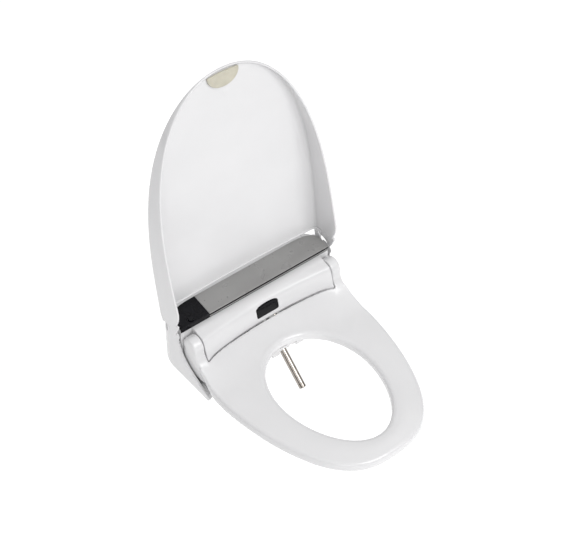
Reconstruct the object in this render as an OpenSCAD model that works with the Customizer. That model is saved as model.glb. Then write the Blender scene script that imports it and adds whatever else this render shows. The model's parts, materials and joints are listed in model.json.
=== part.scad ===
// Electric bidet seat: water and electrics in a rear housing, with a heated seat and a lid on hinges.
// Origin: midway between the two mounting bolts, on the bowl's top face. +Z up, the front faces -Y.
// Drawn as used: lid open on its stop, seat down, the rear wash nozzle out.

/* [Seat] */
// Half width of the seat at its widest
seat_half_w = 182.8; // [178:0.2:186]
// Distance from the bolts to the seat's front tip
seat_front = 455; // [440:1:470]
// Distance behind the tip where the seat is widest
seat_wide_at = 166.2; // [150:1:180]
// Height of the seat's side wall
seat_side_h = 18.3; // [14:0.1:20]
// Half width of the seat opening
hole_half_w = 100.1; // [90:0.1:105]
// Half length of the seat opening
hole_half_len = 138.4; // [125:0.1:140]
// Distance from the bolts to the middle of the seat opening
hole_mid = 270; // [265:1:275]

/* [Lid] */
// Half width of the lid
lid_half_w = 189.2; // [188:0.1:192]
// Length of the lid from its hinge pins to its tip
lid_len = 479.5; // [460:0.5:490]
// Angle of the open lid from the horizontal
lid_open = 98.2; // [96:0.1:100]
// Wall thickness of the lid and casings
shell = 3; // [2.5:0.1:3.4]

/* [Hinges] */
// Distance of the lid pins behind the bolts, negative towards the front
lid_pin_y = -21.7; // [-23:0.1:-20]
// Height of the lid pins
lid_pin_z = 101.3; // [100:0.1:102]
// Distance of the seat pins behind the bolts
seat_pin_y = -71; // [-72:0.1:-70.5]
// Height of the seat pins
seat_pin_z = 88; // [87.5:0.1:88.5]
// Radius of the seat pins
seat_pin_r = 5; // [4:0.5:5]
// Radius of the lid pins
lid_pin_r = 4; // [3:0.5:4]

/* [Housing] */
// Half width of the lower casing
case_half_w = 184.2; // [184:0.1:184.2]
// Distance from the bolts to the rear wall
case_back = 40; // [38:0.5:42]
// Radius of the rear corners in plan
case_corner = 67; // [60:1:70]
// Half width of the upper housing and its top panel
top_half_w = 177.4; // [176:0.1:177.4]
// Left edge of the grey top panel, where the black control panel starts
panel_split = -111.8; // [-120:0.1:-100]
// Spacing of the mounting bolts
bolt_pitch = 140; // [130:1:150]

/* [Nozzles] */
// Radius of a wash nozzle tube
nozzle_r = 7.2; // [6.5:0.1:7.4]
// Angle of the nozzles below the horizontal
nozzle_dip = 41; // [40:0.5:42]
// Travel of a nozzle
nozzle_travel = 85.5; // [72:4.5:90]
// Side place of the rear wash nozzle
wash_x = 5; // [4:0.5:6]
// Distance between the two nozzles
nozzle_pitch = 18; // [17:0.5:20]

/* [Hidden] */
$fn = 48;
white = [0.93, 0.93, 0.94];
grey = [0.62, 0.62, 0.61];
black = [0.08, 0.08, 0.10];
steel = [0.72, 0.70, 0.68];
rubber = [0.25, 0.25, 0.26];
green = [0.10, 0.38, 0.22];
natural = [0.88, 0.86, 0.78];
hinge_fit = 0.05;
wing_in = 179.2;
wing_back = -27;
case_floor = 6.5;
floor_t = 3;
case_rim = 111;
drum_half = 153.5;
drum_z = 110.5;
ear_in = 155.2;
ear_out = 176.8;
ear_r = 20;
front_y = -49.6;
panel_t = 4;
panel_front_z = 121.2;
panel_tilt = 8.46;
button_x = -148.6;
button_y = -41.2;
button_r = 5.4;
window_tilt = 14.7;
bidet_x = wash_x + nozzle_pitch;
unit_x = wash_x + nozzle_pitch / 2;
tube_len = 132;
tip_y = -187.3;
tip_z = -53;
back_y = cos(nozzle_dip);
back_z = sin(nozzle_dip);
pinion_teeth = 12;
tooth_pitch = 4.5;
pinion_r = pinion_teeth * tooth_pitch / (2 * PI);
pinion_at = 146;
rack_h = 9.6;
pinion_h = rack_h + pinion_r + 0.5;
plate_t = 5;
bolt_r = 3;
bolt_thread_r = 2.5;
blower_x = 86;
blower_y = -12;
fan_x = 124;
fan_y = -22;
fan_z = 41;
filter_x = 134;
inlet_x = 140;
inlet_y = 10;
drain_y = -2;
release_y = -56;
release_z = 14;

function lerp(a, b, t) = a + (b - a) * t;
function spow(v, e) = sign(v) * pow(abs(v), e);

// ---- Outlines ----
// Front of the seat, for an angle that runs from its right side to its left
function seat_edge(a) = [seat_half_w * spow(cos(a), 2 / 2.8),
  -seat_wide_at - (seat_front - seat_wide_at) * spow(sin(a), 2 / 1.6)];
// Rear edge of the seat, hollowed round the housing's drum
function seam_y(x) = -79.8 - 7.6 * pow(x / 155, 2) - 15.2 * pow(x / 155, 4);
function seam_z(x) = 54.5 + 7.5 * pow(x / 155, 2);
// Opening of the seat, for an angle from its front
function hole_edge(b) = [hole_half_w * sin(b) * (1 - 0.1 * cos(b)), -hole_mid - hole_half_len * cos(b)];
// Height of the seat's top edge
// Share of the ears' height at x: a fourth power that levels out beside the ears
function ear_share(u) = u < 0.92 ? pow(u, 4) :
  let (d = min(u, 1.102) - 0.92) 0.716 + 3.115 * d - 8.56 * d * d;
function seat_rise(x, y) = (16.7 + 27.2 * ear_share(abs(x) / 155)) * pow(max(0, (170 + y) / 90), 2);
function seat_z(x, y) = 39 + 7 * y / 455 + seat_rise(x, y);
function seat_base(y) = 39 - seat_side_h + 7 * y / 455;
seat_side = [[181.4, -140], [178.6, -120], [177.4, -104]];
seam_x = [for (i = [-8:8]) 154 * i / 8];
seat_loop = concat([for (a = [0:7.5:180]) seat_edge(a)],
  [for (p = seat_side) [-p.x, p.y]], [for (x = seam_x) [x, seam_y(x)]],
  [for (i = [2:-1:0]) seat_side[i]]);
// Back edge of the top panel
function panel_back(x) = -1 - 17 * pow(x / 176, 12);
// Rear wall in plan, set in from the casing's outer face
function case_rear(x, inset) = abs(x) < case_half_w - case_corner ? case_back - inset
  : case_back - case_corner + sqrt(max(0, pow(case_corner - inset, 2)
      - pow(abs(x) - case_half_w + case_corner, 2)));

// Smooth curve through points, with n steps between two of them
function spline(p, n) = [for (i = [0:len(p) - 2]) for (j = [0:n - 1]) let (
  t = j / n,
  a = p[max(i - 1, 0)],
  b = p[i],
  c = p[i + 1],
  d = p[min(i + 2, len(p) - 1)])
  (2 * b + (c - a) * t + (2 * a - 5 * b + 4 * c - d) * t * t + (3 * b - a - 3 * c + d) * t * t * t) / 2];

// ---- Helpers ----
// Triangles across a closed band of m points, in which point j lies opposite point m - 1 - j
function band_cap(m, first) = [for (j = [0:m / 2 - 2]) each
  [[first + j, first + j + 1, first + m - 1 - j], [first + j + 1, first + m - 2 - j, first + m - 1 - j]]];
function turned(faces) = [for (f = faces) [f[0], f[2], f[1]]];
// Solid through closed bands that have the same number of points, closed into a ring or capped
module loft(loops, ring = false) {
  n = len(loops);
  m = len(loops[0]);
  points = [for (l = loops) for (p = l) p];
  sides = [for (i = [0:n - (ring ? 1 : 2)]) for (j = [0:m - 1]) each let (
    next = ((i + 1) % n) * m,
    a = i * m + j,
    b = i * m + (j + 1) % m,
    c = next + (j + 1) % m,
    d = next + j) [[a, c, b], [a, d, c]]];
  caps = ring ? [] : concat(band_cap(m, 0), turned(band_cap(m, (n - 1) * m)));
  polyhedron(points, concat(sides, caps), convexity = 8);
}
// Child drawn in Y and Z, made thick along X from a to b
module along_x(a, b) {
  translate([a, 0, 0]) rotate([90, 0, 90]) linear_extrude(b - a) children();
}
// Cylinder along X from a to b at (y, z)
module bar_x(a, b, y, z, r) {
  translate([a, y, z]) rotate([0, 90, 0]) cylinder(h = b - a, r = r);
}
module block(a, b) {
  translate(a) cube(b - a);
}
module both_sides() {
  children();
  mirror([1, 0, 0]) children();
}
// Rounded rectangle in its own plane
module round_rect(w, h, r) {
  square([w - 2 * r, h], center = true);
  square([w, h - 2 * r], center = true);
  for (x = [-1, 1]) for (y = [-1, 1]) translate([x * (w / 2 - r), y * (h / 2 - r)]) circle(r);
}
// Frame of a nozzle: +Z runs back up the tube from its tip, +Y points back and down
module at_nozzle(x) {
  translate([x, tip_y, tip_z]) rotate([nozzle_dip - 90, 0, 0]) children();
}
// Frame of the open lid: +Y runs to the tip, +Z to its inner side
module at_lid() {
  translate([0, lid_pin_y, lid_pin_z]) rotate([180 - lid_open, 0, 0]) children();
}

// ---- Lower casing ----
module case_plan(inset) {
  w = case_half_w - inset;
  b = case_back - inset;
  r = case_corner - inset;
  translate([-w, -110]) square([2 * w, b - r + 110]);
  translate([-w + r, -110]) square([2 * (w - r), b + 110]);
  for (s = [-1, 1]) translate([s * (w - r), b - r]) circle(r, $fn = 96);
}
// Side view of a wing, which sweeps forward beside the seat's hinge
module wing_side() {
  polygon(concat([[wing_back, 0.6]], spline([[wing_back, 118], [-40, 116.5], [-52.5, 107], [-48.6, 92],
    [-53, 68], [-73, 43], [-104, 25], [-119, 18.5], [-134, 13], [-139.5, 7], [-134, 0.6]], 4)));
}
module lower_casing() color(white) {
  difference() {
    union() {
      // floor, with the mounting plate's recess below it
      translate([0, 0, case_floor]) linear_extrude(floor_t) case_plan(1);
      translate([unit_x, -126, case_floor]) linear_extrude(floor_t) translate([-38, 0]) square([76, 40]);
      // skirt and rear wall
      translate([0, 0, 0.6]) linear_extrude(case_rim - 0.6) difference() {
        case_plan(0);
        case_plan(shell);
        translate([-200, -120]) square([400, wing_back + 120]);
      }
      // front walls beside and below the drum
      both_sides() block([150, -49, 0.6], [wing_in + 1, -46, 58]);
      block([-152.2, -77, 0.6], [152.2, -74, 45]);
      both_sides() block([149.2, -77, 0.6], [152.2, -46, 45]);
      both_sides() along_x(wing_in, case_half_w) wing_side();
      // foot under the seat's edge at the tip of each wing
      both_sides() along_x(158, wing_in + 0.5)
        polygon([[-104, 0.6], [-104, 17], [-131, 15.5], [-136, 12], [-138, 7], [-133, 0.6]]);
      // posts for the housing's screws and for the tank
      for (x = [-120, 120]) translate([x, 28, case_floor + 1]) cylinder(h = 60, r = 4);
    }
    // way through for the nozzles, their motors and the warm air
    block([unit_x - 38, -80, case_floor + floor_t], [unit_x + 38, -70, 60]);
    at_nozzle(unit_x) translate([-20.4, -9.4, 60]) cube([40.8, 24, 170]);
    block([50, -80, case_floor + floor_t], [82, -70, 34]);
    // the underside is open for the mounting plate
    block([-108, -48, -1], [108, 37, case_floor]);
    // slots for the lid's arms
    both_sides() block([wing_in - 2, -58, 88.5], [182.6, -6.5, 125]);
    // filter, release button, cord gland, inlet and drain
    block([170, fan_y - 19, fan_z - 16], [190, fan_y + 19, fan_z + 16]);
    translate([170, release_y, release_z]) rotate([90, 0, 90]) linear_extrude(20) round_rect(24.6, 10.6, 4);
    translate([100, 30, 22]) rotate([-90, 0, 0]) cylinder(h = 20, r = 5.03);
    translate([inlet_x, inlet_y, -5]) cylinder(h = 20, r = 12.03);
    translate([-140, drain_y, -5]) cylinder(h = 20, r = 7.03);
    for (x = [-120, 120]) translate([x, 28, 0]) cylinder(h = 80, r = 1.6);
    // bolt access
    for (s = [-1, 1]) translate([s * bolt_pitch / 2, 0, -1]) cylinder(h = 20, r = 9);
  }
}

// ---- Upper housing ----
// Section of the skin at x, d inside the outer surface, from the rear wall over the top
function rear_part(x, d) = let (
  r = case_rear(x, 3.4),
  top = min(max(panel_back(x), -12) + 3, r - 10))
  [[r - d, 92], [r - d, 104 - d], [r - 2.5 - d * 0.9, 113 - d], [r - 9, 119.5 - d], [top, 122.5 - d],
   [min(-6, top - 2), 122.3 - d], [front_y + 2.4, 115.9 - d]];
// Drum between the seat's ears, down to its foot in the seat's hollow
function drum_part(x, d) = let (t = x * x / 24025)
  [[front_y + 2.4 + d * 0.5, drum_z - d], [-60, drum_z - d], [-68.5 + d * 0.5, 109 - d - t],
   [-75 - 8 * t + d, 104.5 - d], [-79.5 - 9 * t + d, 96 - d * 0.5], [-83 - 9.5 * t + d, 84],
   [-84.5 - 11 * t + d, 74], [-83 - 15 * t + d, 64 + 2 * t], [seam_y(x) + 1.6 + d, seam_z(x) + d * 0.6],
   [seam_y(x) + 3.5 + d, seam_z(x) - 6 - t]];
// Straight front wall beside the drum, with as many points
function flat_part(d) = concat([[front_y + 2.4 + d * 0.5, drum_z - d]],
  [for (i = [0:8]) [front_y + d, lerp(drum_z - 1 - d, 59, i / 8)]]);
// The inside follows the drum, the straight wall, or the open underside where an end is solid
function housing_section(x, drum, inside) = let (
  outer = concat(rear_part(x, 0), drum ? drum_part(x, 0) : flat_part(0)),
  skin = concat(rear_part(x, shell), inside == "drum" ? drum_part(x, shell) : flat_part(shell)),
  n = len(skin),
  inner = [for (i = [n - 1:-1:0]) inside == "solid" ? lerp(skin[0], skin[n - 1], i / (n - 1)) : skin[i]])
  [for (p = concat(outer, inner)) [x, p.x, p.y]];
end_wall = 3;
housing_side = [[top_half_w, false, "solid"], [top_half_w - end_wall, false, "solid"],
  [top_half_w - end_wall - 0.2, false, "wall"], [165, false, "wall"], [drum_half + 0.1, false, "wall"],
  [drum_half, true, "wall"], [drum_half - end_wall, true, "wall"]];
module upper_housing() color(white) {
  difference() {
    loft(concat(
      [for (s = housing_side) housing_section(-s[0], s[1], s[2])],
      [for (i = [-9:9]) housing_section((drum_half - end_wall - 0.2) * i / 9, true, "drum")],
      [for (i = [len(housing_side) - 1:-1:0]) let (s = housing_side[i]) housing_section(s[0], s[1], s[2])]));
    both_sides() {
      bar_x(drum_half - end_wall - 2, drum_half + 2, seat_pin_y, seat_pin_z, seat_pin_r + hinge_fit);
      bar_x(top_half_w - end_wall - 2, top_half_w + 2, lid_pin_y, lid_pin_z, lid_pin_r + hinge_fit);
    }
    translate([0, -80.6, 88.3]) rotate([90 - window_tilt, 0, 0]) linear_extrude(16, center = true)
      round_rect(53, 28, 7);
    translate([button_x, button_y, 105]) cylinder(h = 20, r = 4.4);
    // room for the nozzles below the drum's foot
    nozzle_room();
  }
}
module nozzle_room() at_nozzle(unit_x) translate([-20.6, -8.2, 60]) cube([41.2, 16.4, 120]);
// Plan of the top panel between two places along X, in the panel's own plane
module panel_plan(a, b) {
  n = 24;
  polygon(concat([[a, 0], [b, 0]],
    [for (i = [n:-1:0]) let (x = lerp(a, b, i / n)) [x, (panel_back(x) - front_y) / cos(panel_tilt)]]));
}
module on_panel() {
  translate([0, front_y, panel_front_z - panel_t]) rotate([panel_tilt, 0, 0]) children();
}
module top_panel() color(grey) on_panel() linear_extrude(panel_t) panel_plan(panel_split, top_half_w);
module control_panel() color(black) difference() {
  union() {
    on_panel() linear_extrude(panel_t) panel_plan(-top_half_w, panel_split - 0.2);
    block([0.1 - top_half_w, front_y - 0.8, drum_z + 0.2],
      [panel_split - 0.3, front_y + 2, panel_front_z - 0.4]);
  }
  translate([button_x, button_y, 100]) cylinder(h = 40, r = button_r + 0.3);
}
module panel_trim() color(grey) {
  block([panel_split, front_y - 0.8, drum_z + 0.2], [top_half_w, front_y + 2, drum_z + 5]);
  block([panel_split, front_y + 0.4, drum_z + 5], [top_half_w, front_y + 2, panel_front_z - 4.5]);
}
module aux_button() color(black) {
  translate([button_x, button_y, 119.4]) cylinder(h = 5.4, r = button_r);
  translate([button_x, button_y, 109.8]) cylinder(h = 10, r = 4);
}
module sensor_window() color(black)
  translate([0, -80.6, 88.3]) rotate([90 - window_tilt, 0, 0]) linear_extrude(3.4, center = true)
    round_rect(52.4, 27.4, 6.7);

// ---- Boards ----
module pcb(a, b, parts) {
  color(green) block(a, b);
  color(black) for (p = parts) block([p[0], p[1], b.z - 0.1], [p[0] + p[2], p[1] + p[3], b.z + p[4]]);
}
module receiver_board() {
  color(green) block([-20, -73, 74], [20, -71.4, 100]);
  color(black) block([-4, -75.6, 84], [4, -72.9, 92]);
}
module switch_board() {
  pcb([-166, -46, 104.6], [-122, -26, 106.2], [[-163, -40, 8, 6, 2]]);
  color(black) block([button_x - 3, button_y - 3, 106.1], [button_x + 3, button_y + 3, 108.2]);
}
module control_board() pcb([-164, -40, 86], [-60, 12, 87.6],
  [[-150, -30, 22, 22, 3], [-110, -20, 14, 14, 9], [-90, -6, 10, 16, 10], [-150, 2, 30, 8, 9],
   [-85, -34, 18, 10, 6]]);
module power_module() {
  pcb([-46, -20, 64], [-14, 28, 65.6], [[-42, -16, 22, 20, 18], [-40, 8, 12, 14, 14]]);
  color(grey) for (x = [-44, -16]) translate([x, 24, case_floor + floor_t]) cylinder(h = 64 - 9.5, r = 1.6);
}
module cord_gland() color(rubber) translate([100, 0, 22]) rotate([-90, 0, 0]) {
  translate([0, 0, 34]) cylinder(h = 3, r = 7);
  translate([0, 0, 36]) cylinder(h = 5, r = 5);
  translate([0, 0, 40]) difference() {
    cylinder(h = 13, r1 = 7, r2 = 5);
    translate([0, 0, 4]) cylinder(h = 12, r = 3.4);
  }
}

// ---- Hinges ----
module hinge_brackets() color(grey) both_sides() difference() {
  union() {
    along_x(144, 149) {
      translate([seat_pin_y, seat_pin_z]) circle(11);
      polygon([[-80, 82], [-62, 96], [-41.2, 75], [-41.2, case_floor + floor_t],
        [-70, case_floor + floor_t], [-70, 60]]);
    }
    along_x(168, 174) {
      translate([lid_pin_y, lid_pin_z]) circle(10);
      polygon([[-31, 98], [-12.5, 98], [-41.2, 60], [-46.2, 60]]);
    }
    block([148, -46.2, 60], [169, -41.2, 75]);
  }
  bar_x(140, 152, seat_pin_y, seat_pin_z, seat_pin_r + 0.03);
  bar_x(165, 176, lid_pin_y, lid_pin_z, lid_pin_r + 0.03);
}
module seat_hinge_pins() color(steel) both_sides() bar_x(140, 175, seat_pin_y, seat_pin_z, seat_pin_r);
module lid_hinge_pins() color(steel) both_sides() bar_x(159.7, 182.2, lid_pin_y, lid_pin_z, lid_pin_r);
// Oil dampers on the inner ends of two pins, one for the seat and one for the lid
module damper(a, b, y, z, r, pin) color(grey) difference() {
  bar_x(a, b, y, z, r);
  bar_x(b - 4, b + 1, y, z, pin + 0.03);
}
module seat_damper() damper(112, 143.6, seat_pin_y, seat_pin_z, 10, seat_pin_r);
module lid_damper() damper(149.5, 163.6, lid_pin_y, lid_pin_z, 11, lid_pin_r);

// ---- Nozzles ----
module nozzle_cradle() color(white) difference() {
  union() {
    at_nozzle(unit_x) translate([-20, -6, 84]) cube([40, 19, 134]);
    // feet on the casing's floor, and cheeks for the motors
    for (x = [-20, 17]) block([unit_x + x, -50, case_floor + floor_t], [unit_x + x + 3, -30, 62]);
    for (x = [-20.9, 18]) at_nozzle(unit_x) translate([x, 8, pinion_at - 9]) cube([2.9, 19, 18]);
  }
  at_nozzle(unit_x) translate([-22, pinion_h, pinion_at]) rotate([0, 90, 0]) cylinder(h = 44, r = 2.06);
  for (x = [wash_x, bidet_x]) {
    at_nozzle(x) translate([0, 0, -90]) cylinder(h = 320, r = nozzle_r + 0.06);
    // groove for the rack
    at_nozzle(x) translate([-3.4, 0, 80]) cube([6.8, 11.2, 150]);
  }
  // window for the pinions
  at_nozzle(unit_x) translate([-13, 4, pinion_at - 11]) cube([26, 12, 22]);
}
// Cover at the mouth of the cradle, on the casing's nose
module nozzle_guard() color(white) difference() {
  union() {
    block([unit_x - 37, -129, 0], [unit_x + 37, -126.4, 16]);
    for (s = [-1, 1]) translate([unit_x + s * 33.5 - 3.5, -127, 0]) cube([7, 17, case_floor - 0.1]);
  }
  at_nozzle(unit_x) translate([-20.4, -9.4, 20]) cube([40.8, 30, 200]);
}
module nozzle_tube() difference() {
  translate([0, 0, 9]) cylinder(h = tube_len - 9, r = nozzle_r);
  translate([0, 0, 8]) cylinder(h = tube_len, r = nozzle_r - 1);
}
module nozzle_tip() difference() {
  union() {
    translate([0, 0, 1]) cylinder(h = 8, r = nozzle_r);
    cylinder(h = 1.01, r1 = nozzle_r - 1, r2 = nozzle_r);
    translate([0, 0, 8.9]) cylinder(h = 5, r = nozzle_r - 1.02);
  }
  // spray holes, on the side that faces up
  for (z = [4, 6.6]) for (x = [-1.6, 1.6]) translate([x, 0, z]) rotate([90, 0, 0]) cylinder(h = 12, r = 0.6);
}
// Slider in the tube's rear end, with the rack along the underside of the tube
module nozzle_carriage() {
  translate([0, 0, tube_len - 12]) cylinder(h = 12, r = nozzle_r - 1.02);
  translate([-2.6, 3, tube_len + 0.1]) cube([5.2, rack_h - 4.4, 4]);
  translate([0, 0, tube_len]) cylinder(h = 6, r = 5);
  n = floor((nozzle_travel + 24) / tooth_pitch);
  first = pinion_at - (n - 3) * tooth_pitch;
  rack_end = first + n * tooth_pitch - 1;
  translate([-2.6, nozzle_r + 0.1, first - tooth_pitch]) cube([5.2, 1.4, rack_end - first + tooth_pitch]);
  translate([-2.6, 4, tube_len + 0.1]) cube([5.2, nozzle_r - 3.8, rack_end - tube_len - 0.1]);
  for (i = [0:n - 1]) let (z = first + (i - 0.5) * tooth_pitch)
    translate([-2.6, nozzle_r + 1.4, z]) rotate([90, 0, 90]) linear_extrude(5.2)
      polygon([[0, -1.25], [1.9, -0.55], [1.9, 0.55], [0, 1.25]]);
}
module pinion(x) {
  at_nozzle(x) translate([0, pinion_h, pinion_at]) rotate([0, 90, 0])
    linear_extrude(5, center = true) difference() {
      union() {
        circle(pinion_r - 1.5);
        for (i = [0:pinion_teeth - 1]) rotate(i * 360 / pinion_teeth - 90)
          polygon([[pinion_r - 2, -1.2], [pinion_r + 0.9, -0.5],
            [pinion_r + 0.9, 0.5], [pinion_r - 2, 1.2]]);
      }
      circle(2.02);
    }
}
module wash_nozzle() color(steel) at_nozzle(wash_x) nozzle_tube();
module wash_tip() color(steel) at_nozzle(wash_x) nozzle_tip();
module wash_carriage() color(white) at_nozzle(wash_x) nozzle_carriage();
module wash_pinion() color(natural) pinion(wash_x);
module bidet_nozzle() color(steel) at_nozzle(bidet_x) translate([0, 0, nozzle_travel]) nozzle_tube();
module bidet_tip() color(steel) at_nozzle(bidet_x) translate([0, 0, nozzle_travel]) nozzle_tip();
module bidet_carriage() color(white) at_nozzle(bidet_x) translate([0, 0, nozzle_travel]) nozzle_carriage();
module bidet_pinion() color(natural) pinion(bidet_x);
// Two stepper motors, one on each side of the cradle, whose shafts carry the pinions
module nozzle_motors() color(grey) {
  for (s = [-1, 1]) at_nozzle(unit_x) translate([0, pinion_h, pinion_at]) rotate([0, s * 90, 0]) {
    translate([0, 0, 21]) cylinder(h = 16, r = 10);
    translate([0, 0, 6]) cylinder(h = 16, r = 2);
  }
}

// ---- Water ----
module water_inlet() color(natural) translate([inlet_x, inlet_y, 0]) difference() {
  union() {
    translate([0, 0, -14]) cylinder(h = 21, r = 10.4);
    translate([0, 0, 0.6]) cylinder(h = 9, r = 12);
    translate([0, 0, 9.6]) cylinder(h = 3, r = 14);
    translate([0, 0, 12.6]) cylinder(h = 6, r = 7);
  }
  translate([0, 0, -15]) cylinder(h = 24, r = 8.03);
  translate([0, 0, 5]) cylinder(h = 20, r = 4);
}
module inlet_filter() color(steel) translate([inlet_x, inlet_y, 0]) difference() {
  translate([0, 0, -10]) cylinder(h = 16, r = 8);
  translate([0, 0, -11]) cylinder(h = 14, r = 6.8);
  // straining slots
  for (i = [0:5]) rotate([0, 0, i * 60]) translate([0, -1.2, -8]) cube([12, 2.4, 8]);
}
module inlet_valve() color(white) translate([inlet_x, inlet_y, 0]) {
  difference() {
    translate([-11, -11, 18.7]) cube([22, 22, 16]);
    translate([0, 0, 18]) cylinder(h = 8, r = 4);
  }
  translate([0, 0, 34.6]) cylinder(h = 20, r = 9);
}
module water_tank() color(natural) difference() {
  block([-164, -40, 12], [-62, 14, 80]);
  block([-161.5, -37.5, 14.5], [-64.5, 11.5, 77.5]);
  translate([-113, -8, 70]) cylinder(h = 20, r = 14.03);
  translate([-140, drain_y, 8]) cylinder(h = 10, r = 5.03);
  translate([-70, -24, 28]) rotate([0, 90, 0]) cylinder(h = 20, r = 3);
}
module tank_heater() color(steel) {
  translate([-113, -8, 73]) cylinder(h = 7, r = 14);
  translate([-113, -8, 80]) cylinder(h = 3, r = 18);
  for (s = [-1, 1]) translate([-113 + s * 8, -8, 24]) cylinder(h = 50, r = 3);
  block([-121, -11, 21], [-105, -5, 25]);
}
module water_pump() color(black) {
  translate([-50, -24, 28]) rotate([0, 90, 0]) cylinder(h = 34, r = 15);
  translate([-54, -24, 28]) rotate([0, 90, 0]) cylinder(h = 5, r = 6);
  block([-44, -38, case_floor + floor_t], [-20, -10, 16]);
}
module pipe(a, b, r) {
  d = b - a;
  l = norm(d);
  translate(a) rotate([0, acos(d.z / l), atan2(d.y, d.x)]) difference() {
    cylinder(h = l, r = r);
    translate([0, 0, -1]) cylinder(h = l + 2, r = r - 1.2);
  }
}
module water_pipes() color(natural) {
  pipe([-61.9, -24, 28], [-54.1, -24, 28], 2.9);
  pipe([130.9, inlet_y, 48], [-61.9, inlet_y, 48], 3);
}

// ---- Warm air ----
module blower_housing() color(black) translate([blower_x, blower_y, 12]) {
  difference() {
    union() {
      cylinder(h = 30, r = 27);
      translate([-27, -38, 0]) cube([22, 38, 30]);
    }
    translate([0, 0, 2.5]) cylinder(h = 25, r = 24.5);
    translate([0, 0, 20]) cylinder(h = 20, r = 13);
    translate([-24.5, -40, 2.5]) cube([17, 40, 25]);
  }
  // feet and motor shaft
  for (x = [-14, 10]) translate([x, -2, case_floor + floor_t - 12])
    cube([4, 4, 12 - case_floor - floor_t + 0.1]);
  translate([0, 0, 2.4]) cylinder(h = 14, r = 1.5);
}
module blower_impeller() color(grey) translate([blower_x, blower_y, 17]) {
  difference() {
    union() {
      cylinder(h = 2, r = 20);
      cylinder(h = 14, r = 5);
    }
    translate([0, 0, -1]) cylinder(h = 13, r = 1.55);
  }
  for (i = [0:17]) rotate([0, 0, i * 20]) translate([15, -0.6, 1.9]) cube([5, 1.2, 16]);
}
module dryer_heater() color(steel) translate([blower_x - 27 + 3.1, -66, 12.3]) {
  for (i = [0:5]) translate([0.4, 2 + i * 2.4, 0.3]) cube([15, 1.2, 14.8]);
  for (x = [0, 15.2]) translate([x, 2, 0]) cube([0.6, 14, 15.4]);
}
module dryer_duct() color(white) difference() {
  block([59, -118, 9.8], [81, -50.4, 30]);
  block([61.5, -120, 12], [78.5, -49, 28]);
  translate([40, -130, 22]) cube([60, 30, 20]);
  bar_x(57, 83, -116.2, 19.2, 1.03);
}
module dryer_flap() color(white) difference() {
  union() {
    bar_x(59.2, 80.8, -116.2, 19.2, 1);
    bar_x(62, 78, -116.2, 19.2, 1.9);
    block([62, -117, 12.6], [78, -115.6, 18.6]);
  }
}
module fan_blades(n, r, h) {
  for (i = [0:n - 1]) rotate([0, 0, i * 360 / n]) rotate([34, 0, 0])
    translate([3, -0.6, -h / 2]) cube([r - 3, 1.2, h]);
}
module deodoriser_fan() color(black) translate([fan_x, fan_y, fan_z]) rotate([0, 90, 0]) difference() {
  union() {
    cylinder(h = 7, r = 5, center = true);
    fan_blades(7, 15, 7);
  }
  translate([0, 0, -5]) cylinder(h = 8, r = 1.55);
}
module fan_frame() color(black) {
  difference() {
    block([fan_x - 6, fan_y - 18.5, case_floor + floor_t], [fan_x + 5, fan_y + 18.5, fan_z + 18.5]);
    bar_x(fan_x - 4.6, fan_x + 6, fan_y, fan_z, 16.2);
    for (a = [0:90:270]) translate([fan_x - 7, fan_y, fan_z]) rotate([a, 0, 0])
      translate([0, 3, 3]) cube([4, 8, 8]);
  }
  bar_x(fan_x - 4.7, fan_x + 2, fan_y, fan_z, 1.5);
}
module deodoriser_filter() {
  color(black) block([filter_x, fan_y - 17, fan_z - 14], [182, fan_y + 17, fan_z + 14]);
  color(white) block([181.9, fan_y - 18.6, fan_z - 15.6], [case_half_w, fan_y + 18.6, fan_z + 15.6]);
}

// ---- Fixing ----
module release_button() color(white) {
  translate([176, release_y, release_z]) rotate([90, 0, 90]) linear_extrude(case_half_w - 176 + 0.8)
    round_rect(24, 10, 3.7);
  block([156, release_y - 5, release_z - 3], [176.1, release_y + 5, release_z + 3]);
}
module drain_plug() color(grey) translate([-140, drain_y, 0]) {
  translate([0, 0, 1]) cylinder(h = 3, r = 9);
  translate([0, 0, 3.9]) cylinder(h = 8, r = 7);
  translate([0, 0, 11.8]) cylinder(h = 3.4, r = 5);
}
module screw(h) {
  difference() {
    cylinder(h = 2.4, r = 3);
    translate([0, 0, -0.1]) cylinder(h = 1.6, r = 1.4, $fn = 6);
  }
  translate([0, 0, 2.3]) cylinder(h = h, r = 1.5);
}
module casing_screws() color(steel) for (x = [-120, 120]) translate([x, 28, 4]) screw(30);
module mounting_plate() color(grey) difference() {
  union() {
    block([-105, -46, 0], [105, 34, plate_t]);
    both_sides() block([96, -46, plate_t - 0.1], [105, 34, 6.2]);
  }
  for (s = [-1, 1]) translate([s * bolt_pitch / 2, 0, -1]) linear_extrude(10) {
    square([6.4, 24], center = true);
    for (y = [-12, 12]) translate([0, y]) circle(3.2);
  }
}
// The full diameter is the shank in the bowl's hole; the thread is drawn at its root
module mounting_bolts() color(steel) for (s = [-1, 1]) translate([s * bolt_pitch / 2, 0, 0]) {
  translate([0, 0, plate_t + 0.1]) cylinder(h = 3, r = 8);
  translate([0, 0, -62]) cylinder(h = 62 + plate_t + 0.2, r = bolt_thread_r);
  translate([0, 0, -41.2]) cylinder(h = 18.4, r = bolt_r);
}
module bolt_bushings() color(rubber) for (s = [-1, 1]) translate([s * bolt_pitch / 2, 0, 0]) difference() {
  translate([0, 0, -22]) cylinder(h = 19.8, r1 = 5.5, r2 = 7);
  translate([0, 0, -30]) cylinder(h = 40, r = bolt_thread_r + 0.03);
}
module bolt_washers() color(steel) for (s = [-1, 1]) translate([s * bolt_pitch / 2, 0, -44]) difference() {
  cylinder(h = 2, r = 12);
  translate([0, 0, -1]) cylinder(h = 5, r = bolt_thread_r + 0.03);
}
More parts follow.
